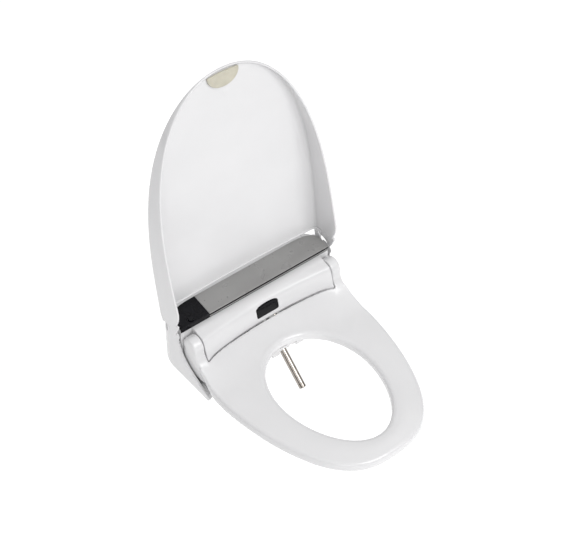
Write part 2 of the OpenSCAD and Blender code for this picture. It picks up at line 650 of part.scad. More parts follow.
module wing_nuts() color(natural) for (s = [-1, 1]) translate([s * bolt_pitch / 2, 0, -56]) difference() {
  union() {
    cylinder(h = 11.9, r = 8);
    for (w = [0, 180]) rotate([0, 0, w]) translate([6, -1.8, 1]) cube([12, 3.6, 9]);
  }
  translate([0, 0, -1]) cylinder(h = 15, r = bolt_thread_r + 0.03);
}
module base_pads() color(rubber) for (x = [-160, 160]) for (y = [-90, -30]) translate([x, y, 0])
  cylinder(h = case_floor, r = 7);

// ---- Seat ----
// Section of the top shell between a point of the outer edge and the opening
function seat_section(o) = let (
  b = atan2(o.x / hole_half_w, -(o.y + hole_mid) / hole_half_len),
  q = hole_edge(b),
  w = norm(q - o),
  e = (q - o) / w,
  zt = seat_z(o.x, o.y),
  zi = lerp(seat_z(q.x, q.y), 37, 0.55),
  rear = max(0, min(1, (o.y + 118) / 12)),
  side_h = lerp(seat_side_h, 7, rear),
  f = lerp(9, 5, rear),
  pts = [[0, zt - side_h], [0, zt - min(f, side_h - 1)], [f * 0.25, zt - f * 0.3], [f, zt],
    [lerp(f, w - 8, 0.4), lerp(zt, zi, 0.35) + 2], [w - 11, zi - 0.5], [w - 3, zi - 4], [w, zi - 9],
    [w, seat_base(q.y) + 1.5], [w - shell, seat_base(q.y) + 1.5], [w - shell, zi - 9.5], [w - 5, zi - 6],
    [w - 11, zi - 0.5 - shell], [lerp(f, w - 8, 0.4), lerp(zt, zi, 0.35) + 2 - shell],
    [f + 1, zt - shell], [shell, zt - shell - 2], [shell, zt - side_h]])
  [for (p = pts) [o.x + e.x * p.x, o.y + e.y * p.x, p.y]];
module seat_ear() difference() {
  union() {
    along_x(ear_in, ear_out) {
      translate([seat_pin_y, seat_pin_z]) circle(ear_r);
      polygon([[-91, 88], [-93, 76], [-103, 65], [-118, 53], [-124, 44], [-124, 32], [-112, 24],
        [-84, 23], [-60, 26], [-52.5, 40], [-51.5, 58], [-52, 80]]);
    }
  }
  bar_x(ear_in - 1, 175.5, seat_pin_y, seat_pin_z, seat_pin_r + hinge_fit);
}
module seat_top() color(white) difference() {
  union() {
    loft([for (o = seat_loop) seat_section(o)], ring = true);
    both_sides() seat_ear();
  }
  nozzle_room();
}
// Plane of the seat's underside
module on_seat_base() {
  translate([0, 0, 39 - seat_side_h]) rotate([atan(7 / 455), 0, 0]) children();
}
module seat_front_plan(inset) {
  intersection() {
    polygon([for (a = [0:5:180]) let (p = seat_edge(a)) p * (1 - inset / seat_half_w) + [0, -inset * 0.9]]);
    translate([-200, -500]) square([400, 500 - seat_wide_at]);
  }
  k = 1 - inset / seat_half_w;
  polygon([[-seat_half_w * k, -seat_wide_at - 2], [-174, -122],
    [174, -122], [seat_half_w * k, -seat_wide_at - 2]]);
}
module hole_plan(out) {
  polygon([for (b = [0:7.5:359]) let (p = hole_edge(b), c = [0, -hole_mid]) c + (p - c) * (1 + out / 100)]);
}
module seat_bottom() color(white) on_seat_base() linear_extrude(2.2) difference() {
  seat_front_plan(5);
  hole_plan(5);
  translate([-62, -170]) square([124, 60]);
}
module seat_heater() color([0.75, 0.45, 0.2]) on_seat_base() translate([0, 0, 7]) linear_extrude(0.8)
  difference() {
    seat_front_plan(14);
    hole_plan(9);
    translate([-75, -200]) square([150, 90]);
  }
module seat_bumpers() color(rubber) for (s = [-1, 1]) for (p = [[146, -205], [100, -356]])
  translate([s * p.x, p.y, 0]) cylinder(h = seat_base(p.y) - 0.3, r = 9);

// ---- Lid, in its own frame: Y to the tip, Z to the inner side ----
function lid_edge(a) = [lid_half_w * spow(cos(a), 2 / 2.1), 68.9 + (lid_len - 68.9) * spow(sin(a), 2 / 2.9)];
function lid_floor(r, v) = -(15 + 5 * (1 - r * r)) + (17 + 5 * (1 - r * r)) * pow(v / lid_len, 3);
function lid_rim(v) = 51.7 * (1 - max(v, 70) / lid_len) + 3.5 - 13 * pow(max(0, 68 - v) / 35, 2);
function lid_section(p) = let (
  target = [0, p.y - 52 * pow(p.y / lid_len, 6)],
  w = norm(target - p),
  e = (target - p) / w,
  edge = lid_floor(1, p.y),
  n_rim = lid_rim(p.y),
  k = min(1, (n_rim - edge) / 9),
  outer = [[0, n_rim], [0, lerp(n_rim, edge, 0.5)], [0, edge + 3.4 * k],
    [1.2, edge - 0.5], [4, edge - shell]],
  inner = [[10, edge], [6.4, edge + 1.8 * k], [4.6, edge + 4.4 * k],
    [4.4, lerp(n_rim, edge, 0.5)], [4.4, n_rim]],
  steps = [0.1, 0.25, 0.5, 0.75, 1],
  over = [for (s = steps) [max(s * w, 11), lid_floor(1 - s, p.y) - shell]],
  under = [for (i = [4:-1:0]) let (s = steps[i]) [max(s * w, 11), lid_floor(1 - s, p.y)]],
  pts = concat(outer, over, under, inner))
  [for (q = pts) [p.x + e.x * q.x, p.y + e.y * q.x, q.y]];
lid_half = concat([[188.6, 33], [189, 50]], [for (a = [0:6:90]) lid_edge(a)]);
lid_tip = len(lid_half) - 1;
// Shell whose two halves share the points of its spine, which are the tenth and eleventh of a section
module lid_shell() {
  half = [for (p = lid_half) lid_section(p)];
  m = len(half[0]);
  spine = 9;
  count = 2 * lid_tip + 1;
  points = concat([for (l = half) for (p = l) p],
    [for (i = [lid_tip - 1:-1:0]) for (p = half[i]) [-p.x, p.y, p.z]]);
  at = function (i, j) let (k = j % m)
    (k == spine || k == spine + 1) && i > lid_tip ? (count - 1 - i) * m + k : i * m + k;
  sides = [for (i = [0:count - 2]) for (j = [0:m - 1]) if (j != spine)
    each let (a = at(i, j), b = at(i, j + 1), c = at(i + 1, j + 1), d = at(i + 1, j))
      [[a, c, b], [a, d, c]]];
  far_cap = [for (f = band_cap(m, 0)) [for (j = f) at(count - 1, j)]];
  polyhedron(points, concat(sides, band_cap(m, 0), turned(far_cap)), convexity = 8);
}
module lid() color(white) at_lid() lid_shell();
// Arm on the hinge pin, with the cheek that wraps the end of the housing outside it
module lid_arm() {
  difference() {
    union() {
      along_x(178.6, 182) {
        circle(11);
        polygon([[0, -10], [0, 6], [27, 4], [32.9, -1], [32.9, -12.6], [8, -11]]);
      }
      along_x(181, 188.7) polygon([[31.4, -10], [31.4, 4], [32.9, 4], [32.9, -10]]);
    }
    bar_x(177, 183, 0, 0, lid_pin_r + hinge_fit);
  }
  along_x(184.8, 188.7) difference() {
    polygon([[0, 21], [5, 24], [14, 31], [28, 39], [32.9, 40], [32.9, -14], [28, -13], [12, -10]]);
    circle(21, $fn = 72);
  }
}
module lid_arms() color(white) at_lid() both_sides() lid_arm();
module lid_pad() color([0.82, 0.80, 0.72]) at_lid() translate([0, lid_len - 9, 3.2]) linear_extrude(2.4)
  intersection() {
    scale([1.25, 1]) circle(26.5);
    translate([-40, -30]) square([80, 30]);
  }

lower_casing();
upper_housing();
top_panel();
panel_trim();
control_panel();
aux_button();
sensor_window();
receiver_board();
switch_board();
control_board();
power_module();
cord_gland();
hinge_brackets();
seat_hinge_pins();
lid_hinge_pins();
seat_damper();
lid_damper();
nozzle_cradle();
nozzle_guard();
wash_nozzle();
wash_tip();
wash_carriage();
wash_pinion();
bidet_nozzle();
bidet_tip();
bidet_carriage();
bidet_pinion();
nozzle_motors();
water_inlet();
inlet_filter();
inlet_valve();
water_tank();
tank_heater();
water_pump();
water_pipes();
blower_housing();
blower_impeller();
dryer_heater();
dryer_duct();
dryer_flap();
deodoriser_fan();
fan_frame();
deodoriser_filter();
release_button();
drain_plug();
casing_screws();
mounting_plate();
mounting_bolts();
bolt_bushings();
bolt_washers();
wing_nuts();
base_pads();
seat_top();
seat_bottom();
seat_heater();
seat_bumpers();
lid();
lid_arms();
lid_pad();
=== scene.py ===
"""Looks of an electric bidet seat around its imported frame.

Outlines are worked out in millimetres, in the frame's own axes: +Z up, -Y to the front of the seat.
"""

import json
import math

import bmesh
import bpy
import numpy as np
from mathutils import Matrix, Vector

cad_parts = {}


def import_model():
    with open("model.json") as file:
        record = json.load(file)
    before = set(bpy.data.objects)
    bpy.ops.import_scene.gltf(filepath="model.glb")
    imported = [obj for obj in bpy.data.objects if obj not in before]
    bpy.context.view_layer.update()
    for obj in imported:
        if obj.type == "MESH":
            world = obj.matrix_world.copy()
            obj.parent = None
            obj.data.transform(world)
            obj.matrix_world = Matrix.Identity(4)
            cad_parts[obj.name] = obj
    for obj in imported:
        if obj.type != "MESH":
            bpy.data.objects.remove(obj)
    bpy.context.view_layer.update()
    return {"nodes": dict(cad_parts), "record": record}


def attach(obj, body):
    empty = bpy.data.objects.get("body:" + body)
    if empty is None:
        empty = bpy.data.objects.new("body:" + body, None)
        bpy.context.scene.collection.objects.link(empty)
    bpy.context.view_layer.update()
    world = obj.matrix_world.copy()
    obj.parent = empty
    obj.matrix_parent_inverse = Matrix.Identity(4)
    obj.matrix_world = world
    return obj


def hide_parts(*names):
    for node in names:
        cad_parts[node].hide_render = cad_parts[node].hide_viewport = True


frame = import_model()
cad_nodes = frame["nodes"]
scene = bpy.context.scene

MM = 0.001
WELD = 2e-6
SHELL = 3.0
# Seat
SEAT_HALF_W, SEAT_WIDE, SEAT_FRONT = 182.8, 166.2, 455.0
HOLE_HALF_W, HOLE_HALF_LEN, HOLE_MID = 100.1, 138.4, 270.0
SEAT_SIDE = [(181.4, -140), (178.6, -120), (177.4, -104)]
SEAT_FALL = 7
SEAM_HALF = 155
EDGE_ROLL_W, EDGE_ROLL_H = 13, 9
SEAT_PIN = (-71.0, 88.0)
EAR_IN, EAR_OUT, EAR_R = 155.2, 176.8, 20.0
EAR_IN_FILLET, EAR_OUT_FILLET = 1.6, 4.5
# Housing
DRUM_HALF, TOP_HALF_W, DRUM_Z, FRONT_Y = 153.5, 177.4, 110.5, -49.6
LEDGE_Y = FRONT_Y + 2.4
DRUM_STEPS = 36
CASE_HALF_W, CASE_BACK, CASE_CORNER = 184.2, 40.0, 67.0
PANEL_SPLIT, PANEL_T, PANEL_Z, PANEL_TILT = -111.8, 4.0, 117.2, math.radians(8.46)
WINDOW_AT, WINDOW_TILT = (-80.6, 88.3), math.radians(14.7)
# Lid
LID_PIN, LID_RISE = (-21.7, 101.3), math.radians(81.8)
LID_HALF_W, LID_LEN, LID_WALL = 189.2, 479.5, 4.4
LID_WIDEST, LID_HINGE_HALF_W, LID_SPINE = 68.9, 189.15, 11
# Nozzles
NOZZLE_TIP, NOZZLE_DIP, NOZZLE_R = (-187.3, -53.0), math.radians(41), 7.2
WASH_X, BIDET_X, TRAVEL, TUBE_LEN = 5.0, 23.0, 85.5, 132.0
UNIT_X = (WASH_X + BIDET_X) / 2


# ---- Numbers and curves ----
def lerp(a, b, t):
    return a + (b - a) * t


def spow(v, e):
    return math.copysign(abs(v) ** e, v)


def clamp(v):
    return max(0.0, min(1.0, v))


def steps(a, b, n):
    return [lerp(a, b, i / n) for i in range(n + 1)]


def spline(points, n, closed=False):
    """Catmull-Rom curve through points, with n steps between two of them."""
    p = np.array(points, float)
    if not closed:
        p = np.vstack([2 * p[0] - p[1], p, 2 * p[-1] - p[-2]])
    count = len(p) if closed else len(p) - 3
    out = []
    for i in range(count):
        a, b, c, d = (p[(i + k - (1 if closed else 0)) % len(p)] for k in range(4))
        for t in (k / n for k in range(n)):
            out.append(0.5 * (2 * b + (c - a) * t + (2 * a - 5 * b + 4 * c - d) * t * t
                              + (3 * b - a - 3 * c + d) * t ** 3))
    if not closed:
        out.append(p[-2])
    return np.array(out)


def corner(centre, rx, ry, start, end, n=6):
    """Points of an elliptic arc, angles in degrees."""
    return [(centre[0] + rx * math.cos(math.radians(a)), centre[1] + ry * math.sin(math.radians(a)))
            for a in steps(start, end, n)]


# ---- Meshes ----
def new_object(name, points, faces):
    """Object from points in millimetres, welded and with its normals outwards."""
    bm = bmesh.new()
    verts = [bm.verts.new(Vector(p) * MM) for p in points]
    for f in faces:
        if len(set(f)) > 2:
            bm.faces.new([verts[i] for i in f])
    bmesh.ops.remove_doubles(bm, verts=bm.verts, dist=WELD)
    bmesh.ops.dissolve_degenerate(bm, edges=bm.edges, dist=1e-6)
    bmesh.ops.recalc_face_normals(bm, faces=bm.faces)
    mesh = bpy.data.meshes.new(name)
    bm.to_mesh(mesh)
    bm.free()
    obj = bpy.data.objects.new(name, mesh)
    scene.collection.objects.link(obj)
    return obj


def skin(name, loops, ring=False, closed=True):
    """Surface through loops with equal counts, closed into a ring or capped at both ends."""
    n, m = len(loops), len(loops[0])
    points = [tuple(p) for loop in loops for p in loop]
    faces = [(i * m + j, i * m + (j + 1) % m, (i + 1) % n * m + (j + 1) % m, (i + 1) % n * m + j)
             for i in range(n if ring else n - 1) for j in range(m if closed else m - 1)]
    if not ring:
        faces += [tuple(range(m)), tuple(range((n - 1) * m, n * m))]
    return new_object(name, points, faces)


def prism(name, outline, a, b, place):
    """Outline made thick from a to b, where place(u, v, h) gives the point in the frame."""
    return skin(name, [[place(u, v, h) for u, v in outline] for h in (a, b)])


def lathe(name, profile, place, around, ring=False):
    """Profile of (radius, height) turned about an axis, where place(x, y, h) gives the point."""
    turns = [2 * math.pi * k / around for k in range(around)]
    loops = [[place(r * math.cos(t), r * math.sin(t), h) for t in turns] for r, h in profile]
    return skin(name, loops, ring)


def tube(name, path, radius, around=14):
    """Round tube along a path in millimetres, with rounded ends."""
    p = np.array(path, float)
    tangents = np.gradient(p, axis=0)
    loops = []
    for i, (c, t) in enumerate(zip(p, tangents)):
        t = Vector(t).normalized()
        side = t.cross(Vector((0, 1, 0.2))).normalized()
        up = side.cross(t)
        r = radius * (0.6 if i in (0, len(p) - 1) else 1.0)
        loops.append([tuple(Vector(c) + r * (math.cos(a) * side + math.sin(a) * up))
                      for a in (2 * math.pi * k / around for k in range(around))])
    return skin(name, loops)


def bake(obj):
    """Applies the modifiers."""
    graph = bpy.context.evaluated_depsgraph_get()
    mesh = bpy.data.meshes.new_from_object(obj.evaluated_get(graph))
    obj.modifiers.clear()
    obj.data = mesh


def cut(obj, *tools):
    """Takes the tools away from obj."""
    for tool in tools:
        mod = obj.modifiers.new("cut", "BOOLEAN")
        mod.operation, mod.solver, mod.object = "DIFFERENCE", "EXACT", tool
    bake(obj)
    for tool in tools:
        bpy.data.objects.remove(tool)


def join(obj, *others):
    """Adds the others' faces to obj."""
    bm = bmesh.new()
    for o in (obj, *others):
        bm.from_mesh(o.data)
    bm.to_mesh(obj.data)
    bm.free()
    for o in others:
        bpy.data.objects.remove(o)


def fuse(obj, voxel, smoothing):
    """Melts obj's closed surfaces into one, with soft inner corners."""
    mod = obj.modifiers.new("fuse", "REMESH")
    mod.mode, mod.voxel_size = "VOXEL", voxel * MM
    mod = obj.modifiers.new("soften", "SMOOTH")
    mod.factor, mod.iterations = 0.5, smoothing
    bake(obj)


def bevel(obj, width, segments=3, angle=30):
    """Rounds the outer edges sharper than the angle; inner corners stay as they are."""
    bm = bmesh.new()
    bm.from_mesh(obj.data)
    weight = bm.edges.layers.float.new("bevel_weight_edge")
    for edge in bm.edges:
        edge[weight] = edge.calc_face_angle_signed(0) > math.radians(angle)
    bm.to_mesh(obj.data)
    bm.free()
    mod = obj.modifiers.new("bevel", "BEVEL")
    mod.width, mod.segments, mod.limit_method = width * MM, segments, "WEIGHT"
    mod.use_clamp_overlap, mod.harden_normals = False, True
    return obj


def shade(obj, angle=35):
    """Smooth shading that breaks at edges sharper than the angle."""
    for f in obj.data.polygons:
        f.use_smooth = True
    obj.data.set_sharp_from_angle(angle=math.radians(angle))
    return obj


def show(obj, body, slot, *stands_for):
    """Puts a finished piece on its body, with the look of its material slot."""
    obj.data.materials.clear()
    obj.data.materials.append(LOOKS[slot])
    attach(obj, body)
    if stands_for:
        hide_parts(*stands_for)


def rounded(node, body, slot, width):
    """The CAD node's own shape with its moulded edges rounded."""
    angle = 40
    bm = bmesh.new()
    bm.from_mesh(cad_nodes[node].data)
    bmesh.ops.remove_doubles(bm, verts=bm.verts, dist=WELD)
    bmesh.ops.dissolve_limit(bm, angle_limit=math.radians(0.8), verts=bm.verts, edges=bm.edges)
    bm.verts.index_update()
    points = [v.co[:] for v in bm.verts]
    faces = [[v.index for v in f.verts] for f in bm.faces]
    bm.free()
    mesh = bpy.data.meshes.new(node + "_shape")
    mesh.from_pydata(points, [], faces)
    obj = bpy.data.objects.new(node + "_shape", mesh)
    scene.collection.objects.link(obj)
    shade(obj, angle)
    bevel(obj, width, 2, angle)
    show(obj, body, slot, node)


# ---- Materials ----
class Look:
    """Builds one procedural material around a Principled shader."""

    def __init__(self, name, roughness, metallic=0.0, ior=1.5, coat=0.0, coat_roughness=0.05):
        self.mat = bpy.data.materials.new(name)
        self.mat.use_nodes = True
        self.tree = self.mat.node_tree
        self.shader = self.tree.nodes["Principled BSDF"]
        self.shader.inputs["Metallic"].default_value = metallic
        self.shader.inputs["IOR"].default_value = ior
        self.shader.inputs["Coat Weight"].default_value = coat
        self.shader.inputs["Coat Roughness"].default_value = coat_roughness
        self.shader.inputs["Roughness"].default_value = roughness
        self.coords = self.node("ShaderNodeTexCoord").outputs["Object"]

    def node(self, kind, **values):
        made = self.tree.nodes.new(kind)
        for key, value in values.items():
            setattr(made, key, value)
        return made

    def link(self, a, b):
        self.tree.links.new(a, b)

    def noise(self, scale, detail=3.0, stretch=(1, 1, 1)):
        """Noise in the object's own space, drawn out along an axis by stretch."""
        mapping = self.node("ShaderNodeMapping")
        mapping.inputs["Scale"].default_value = stretch
        self.link(self.coords, mapping.inputs["Vector"])
        made = self.node("ShaderNodeTexNoise")
        made.inputs["Scale"].default_value = scale
        made.inputs["Detail"].default_value = detail
        self.link(mapping.outputs["Vector"], made.inputs["Vector"])
        return made.outputs["Fac"]

    def ramp(self, fac, low, high, start=0.35, end=0.65):
        """Colour from low to high as fac goes from start to end."""
        made = self.node("ShaderNodeValToRGB")
        made.color_ramp.elements[0].position, made.color_ramp.elements[1].position = start, end
        made.color_ramp.elements[0].color = (*low, 1)
        made.color_ramp.elements[1].color = (*high, 1)
        self.link(fac, made.inputs["Fac"])
        return made.outputs["Color"]

    def colour(self, fac, low, high, start=0.35, end=0.65):
        self.link(self.ramp(fac, low, high, start, end), self.shader.inputs["Base Color"])
        return self

    def gloss(self, fac, low, high, start=0.35, end=0.65):
        self.link(self.ramp(fac, (low,) * 3, (high,) * 3, start, end), self.shader.inputs["Roughness"])
        return self

    def relief(self, fac, depth):
        """Bump of that depth in millimetres."""
        made = self.node("ShaderNodeBump")
        made.inputs["Strength"].default_value = 1.0
        made.inputs["Distance"].default_value = depth * MM
        self.link(fac, made.inputs["Height"])
        self.link(made.outputs["Normal"], self.shader.inputs["Normal"])
        return self


def white_shell():
    """Gloss white ABS: faint clouding in tone and polish, and the last trace of the mould's grain."""
    look = Look("white_shell", 0.22, coat=0.35, coat_roughness=0.04)
    look.colour(look.noise(9), (0.70, 0.697, 0.703), (0.72, 0.717, 0.723))
    look.gloss(look.noise(35), 0.2, 0.27)
    return look.relief(look.noise(1400, 2), 0.003).mat


def panel_grey():
    """Smoky metallic lacquer under a clear gloss top, whose tone carries a painted reflection gradient."""
    look = Look("panel_grey", 0.3, metallic=0.25, coat=0.9, coat_roughness=0.05)
    # Painted reflection: the broad, slow change in tone across the panel stands in for lighter and darker
    # reflections on its gloss.
    look.colour(look.noise(6, 1), (0.255, 0.252, 0.248), (0.30, 0.297, 0.292))
    return look.gloss(look.noise(60, 1), 0.27, 0.33).mat


def black_gloss():
    """Piano black, with hairline polish marks in its gloss."""
    look = Look("black_gloss", 0.08, ior=1.25)
    look.colour(look.noise(70), (0.003, 0.003, 0.004), (0.006, 0.006, 0.008))
    look.gloss(look.noise(160, 4, (1, 12, 1)), 0.05, 0.14)
    return look.relief(look.noise(900, 2), 0.001).mat


def soft_cream():
    """Milky elastomer, matt and slightly uneven."""
    look = Look("soft_cream", 0.5, ior=1.4)
    look.shader.inputs["Subsurface Weight"].default_value = 0.15
    look.shader.inputs["Subsurface Radius"].default_value = (0.004, 0.003, 0.002)
    look.colour(look.noise(60), (0.50, 0.475, 0.39), (0.56, 0.535, 0.44))
    look.gloss(look.noise(200), 0.42, 0.58)
    return look.relief(look.noise(700, 3), 0.02).mat


def steel():
    """Drawn stainless steel with fine lines round the tube and a warm tint."""
    look = Look("steel", 0.2, metallic=1.0)
    look.colour(look.noise(120, 4), (0.34, 0.31, 0.28), (0.42, 0.385, 0.35))
    look.gloss(look.noise(500, 3, (1, 6, 6)), 0.1, 0.2)
    return look.relief(look.noise(900, 2, (0.4, 4, 4)), 0.0015).mat


def bracket_metal():
    """Zinc plate, with its faint crystals."""
    look = Look("bracket_metal", 0.42, metallic=0.85)
    cells = look.node("ShaderNodeTexVoronoi")
    cells.inputs["Scale"].default_value = 260
    look.link(look.coords, cells.inputs["Vector"])
    look.colour(cells.outputs["Distance"], (0.40, 0.41, 0.43), (0.52, 0.53, 0.55), 0.1, 0.7)
    look.gloss(look.noise(90), 0.34, 0.5)
    return look.relief(look.noise(420, 3), 0.01).mat


def board():
    """Solder-masked glass epoxy: woven glass below the green, with paler copper areas."""
    look = Look("board", 0.35, coat=0.2, coat_roughness=0.2)
    cells = look.node("ShaderNodeTexBrick")
    cells.inputs["Scale"].default_value = 90
    cells.inputs["Color1"].default_value = (0.015, 0.09, 0.035, 1)
    cells.inputs["Color2"].default_value = (0.02, 0.13, 0.05, 1)
    cells.inputs["Mortar"].default_value = (0.05, 0.22, 0.09, 1)
    cells.inputs["Mortar Size"].default_value = 0.06
    look.link(look.coords, cells.inputs["Vector"])
    look.link(cells.outputs["Color"], look.shader.inputs["Base Color"])
    look.gloss(look.noise(300), 0.28, 0.44)
    return look.relief(look.noise(1500, 1), 0.02).mat


def white_inner():
    """Matt white engineering plastic with a fine moulded grain."""
    look = Look("white_inner", 0.5)
    look.colour(look.noise(25), (0.66, 0.66, 0.65), (0.72, 0.72, 0.71))
    look.gloss(look.noise(140), 0.45, 0.6)
    return look.relief(look.noise(1100, 3), 0.02).mat


def natural_plastic():
    """Undyed acetal and polypropylene, waxy and a little milky."""
    look = Look("natural_plastic", 0.4, ior=1.48)
    look.shader.inputs["Subsurface Weight"].default_value = 0.1
    look.shader.inputs["Subsurface Radius"].default_value = (0.003, 0.003, 0.002)
    look.colour(look.noise(18), (0.62, 0.60, 0.52), (0.69, 0.67, 0.59))
    look.gloss(look.noise(110), 0.34, 0.5)
    return look.relief(look.noise(800, 2), 0.015).mat


def black_plastic():
    """Black glass-filled plastic with a spark-eroded grain."""
    look = Look("black_plastic", 0.55)
    look.colour(look.noise(45), (0.016, 0.016, 0.018), (0.028, 0.028, 0.030))
    look.gloss(look.noise(220), 0.48, 0.66)
    return look.relief(look.noise(1300, 3), 0.03).mat


def heater_foil():
    """Crinkled aluminium foil."""
    look = Look("heater_foil", 0.3, metallic=1.0)
    look.colour(look.noise(30, 5), (0.62, 0.62, 0.63), (0.76, 0.76, 0.77))
    look.gloss(look.noise(80, 4), 0.2, 0.4)
    return look.relief(look.noise(160, 6), 0.15).mat


def black_rubber():
    """Black rubber with a dusty bloom."""
    look = Look("black_rubber", 0.7, ior=1.52)
    look.colour(look.noise(50, 5), (0.018, 0.018, 0.018), (0.036, 0.036, 0.035))
    look.gloss(look.noise(190), 0.62, 0.82)
    return look.relief(look.noise(900, 3), 0.03).mat


LOOKS = {make.__name__: make() for make in (
    white_shell, panel_grey, black_gloss, soft_cream, steel, bracket_metal, board, white_inner,
    natural_plastic, black_plastic, heater_foil, black_rubber)}


# ---- Places ----
def at_lid(x, v, n):
    """Point of the open lid's frame: v to the tip, n to the inner side."""
    return (x, LID_PIN[0] + v * math.cos(LID_RISE) - n * math.sin(LID_RISE),
            LID_PIN[1] + v * math.sin(LID_RISE) + n * math.cos(LID_RISE))


def at_nozzle(x, y, z):
    """Point of a nozzle's frame: z back up the tube from the tip, y back and down."""
    return (x, NOZZLE_TIP[0] + math.sin(NOZZLE_DIP) * y + math.cos(NOZZLE_DIP) * z,
            NOZZLE_TIP[1] - math.cos(NOZZLE_DIP) * y + math.sin(NOZZLE_DIP) * z)


def on_panel(x, v, n):
    """Point of the top panel's plane: v back from its front edge, n up."""
    return (x, FRONT_Y + v * math.cos(PANEL_TILT) - n * math.sin(PANEL_TILT),
            PANEL_Z + v * math.sin(PANEL_TILT) + n * math.cos(PANEL_TILT))


def at_window(u, v, n):
    """Point of the window's plane: u across, v up, n out."""
    return (u, WINDOW_AT[0] + v * math.sin(WINDOW_TILT) - n * math.cos(WINDOW_TILT),
            WINDOW_AT[1] + v * math.cos(WINDOW_TILT) + n * math.sin(WINDOW_TILT))


def nozzle_room(name):
    """Space of the nozzle unit, which the housing and the seat keep clear."""
    return prism(name, [(-20.6, -8.2), (20.6, -8.2), (20.6, 8.2), (-20.6, 8.2)], 60, 180,
                 lambda x, y, z: at_nozzle(UNIT_X + x, y, z))


# ---- Seat ----
def seat_edge(a):
    return (SEAT_HALF_W * spow(math.cos(a), 2 / 2.8),
            -SEAT_WIDE - (SEAT_FRONT - SEAT_WIDE) * spow(math.sin(a), 2 / 1.6))


def seam_y(x):
    """Place along y of the seam between the seat and the drum."""
    return -79.8 - 7.6 * (x / SEAM_HALF) ** 2 - 15.2 * (x / SEAM_HALF) ** 4


def seam_z(x):
    return 54.5 + 7.5 * (x / SEAM_HALF) ** 2


def hole_edge(b):
    """Egg-shaped edge of the opening, from b = 0 at its narrower front end."""
    return (HOLE_HALF_W * math.sin(b) * (1 - 0.1 * math.cos(b)),
            -HOLE_MID - HOLE_HALF_LEN * math.cos(b))


def ear_share(u):
    """Share of the ears' height: a fourth power that levels out beside the ears."""
    d = min(u, 1.102) - 0.92
    return u ** 4 if d < 0 else 0.716 + 3.115 * d - 8.56 * d * d


def seat_z(x, y):
    """Height of the seat's top face, which rises to the hinge and to the ears."""
    rise = (16.7 + 27.2 * ear_share(abs(x) / SEAM_HALF)) * max(0.0, (170 + y) / 90) ** 2
    return 39 + SEAT_FALL * y / SEAT_FRONT + rise


def seat_base(y):
    return 20.7 + SEAT_FALL * y / SEAT_FRONT


def seat_section(o):
    """Section of the shell from a point of the outer edge to the opening: skin, then underside."""
    b = math.atan2(o[0] / HOLE_HALF_W, -(o[1] + HOLE_MID) / HOLE_HALF_LEN)
    q = hole_edge(b)
    across = Vector((q[0] - o[0], q[1] - o[1]))
    w, e = across.length, across.normalized()
    top, low = seat_z(*o), lerp(seat_z(*q), 37, 0.55)
    rear = clamp((o[1] + 150) / 44)
    side, f = lerp(18.3, 14, rear), lerp(9, 3, rear)
    if abs(o[0]) < 154.5 and o[1] > -125:
        side, f = 7, 1.6  # shallow and crisp along the seam
    inner = w - EDGE_ROLL_W
    drop = low - seat_z(o[0] + e.x * inner, o[1] + e.y * inner)
    crown = []
    for t in steps(0, 1, 14):
        d = lerp(f, inner, t)
        here = seat_z(o[0] + e.x * d, o[1] + e.y * d)
        ease = t * t * (3 - 2 * t)
        crown.append((d, here + drop * ease + 1.6 * math.sin(math.pi * t) * (1 - rear)))
    roll = (inner, low - EDGE_ROLL_H)
    over = [(0, top - side)] + corner((f, top - f), f, f, 180, 90)[:-1] + crown
    over += corner(roll, EDGE_ROLL_W, EDGE_ROLL_H, 90, 0, 8)[1:]
    floor = seat_base(q[1]) + 1.5
    under = [(w, floor), (w - SHELL, floor), (w - SHELL, low - EDGE_ROLL_H)]
    under += corner(roll, EDGE_ROLL_W - SHELL, EDGE_ROLL_H - SHELL, 0, 90, 4)[1:]
    under += [(max(d, SHELL + 1), z - SHELL) for d, z in crown[::-1]]
    under += [(SHELL, top - SHELL - 2), (SHELL, top - side)]
    return [(o[0] + e.x * d, o[1] + e.y * d, z) for d, z in over + under]


def seat_outline():
    right = spline([seat_edge(0), *SEAT_SIDE], 5)[1:]
    front = [seat_edge(math.radians(a)) for a in steps(0, 180, 72)]
    seam = [(x, seam_y(x)) for x in steps(-154, 154, 56)]
    return front + [(-x, y) for x, y in right] + seam + [tuple(p) for p in right[::-1]]


def seat_ear(side):
    """Ear round the hinge pin, with a large outer fillet and a small inner one."""
    outline = corner(SEAT_PIN, EAR_R, EAR_R, -40, 176, 18)
    outline += [(-92, 78), (-95.5, 70.5), (-101, 63.5), (-109, 56), (-117, 48.5), (-121, 40),
                (-119, 31), (-110, 25), (-98, 23.5), (-84, 23.5), (-70, 24.5), (-60, 28),
                (-53.5, 40), (-52, 58), (-52, 74)]
    outline = spline(outline, 2, closed=True)
    ear = prism("ear", outline, EAR_IN, EAR_OUT, lambda u, v, x: (side * x, u, v))
    bm = bmesh.new()
    bm.from_mesh(ear.data)
    for x, width in ((EAR_OUT, EAR_OUT_FILLET), (EAR_IN, EAR_IN_FILLET)):
        edges = [g for g in bm.edges if all(abs(abs(v.co.x) - x * MM) < 1e-6 for v in g.verts)]
        bmesh.ops.bevel(bm, geom=edges, offset=width * MM, segments=6, profile=0.5, affect="EDGES",
                        clamp_overlap=False)
    bm.to_mesh(ear.data)
    bm.free()
    return ear


def seat_top():
    shell = skin("seat_shell", [seat_section(o) for o in seat_outline()], ring=True)
    cut(shell, nozzle_room("room"))
    join(shell, seat_ear(1), seat_ear(-1))
    fuse(shell, 1.5, 7)
    show(shade(shell, 60), "seat", "white_shell", "seat_top")


# ---- Lid ----
def lid_edge(a):
    """Outline of the lid in front of its widest place, a from 0 there to pi / 2 at the tip."""
    return (LID_HALF_W * spow(math.cos(a), 2 / 2.1),
            LID_WIDEST + (LID_LEN - LID_WIDEST) * spow(math.sin(a), 2 / 2.9))


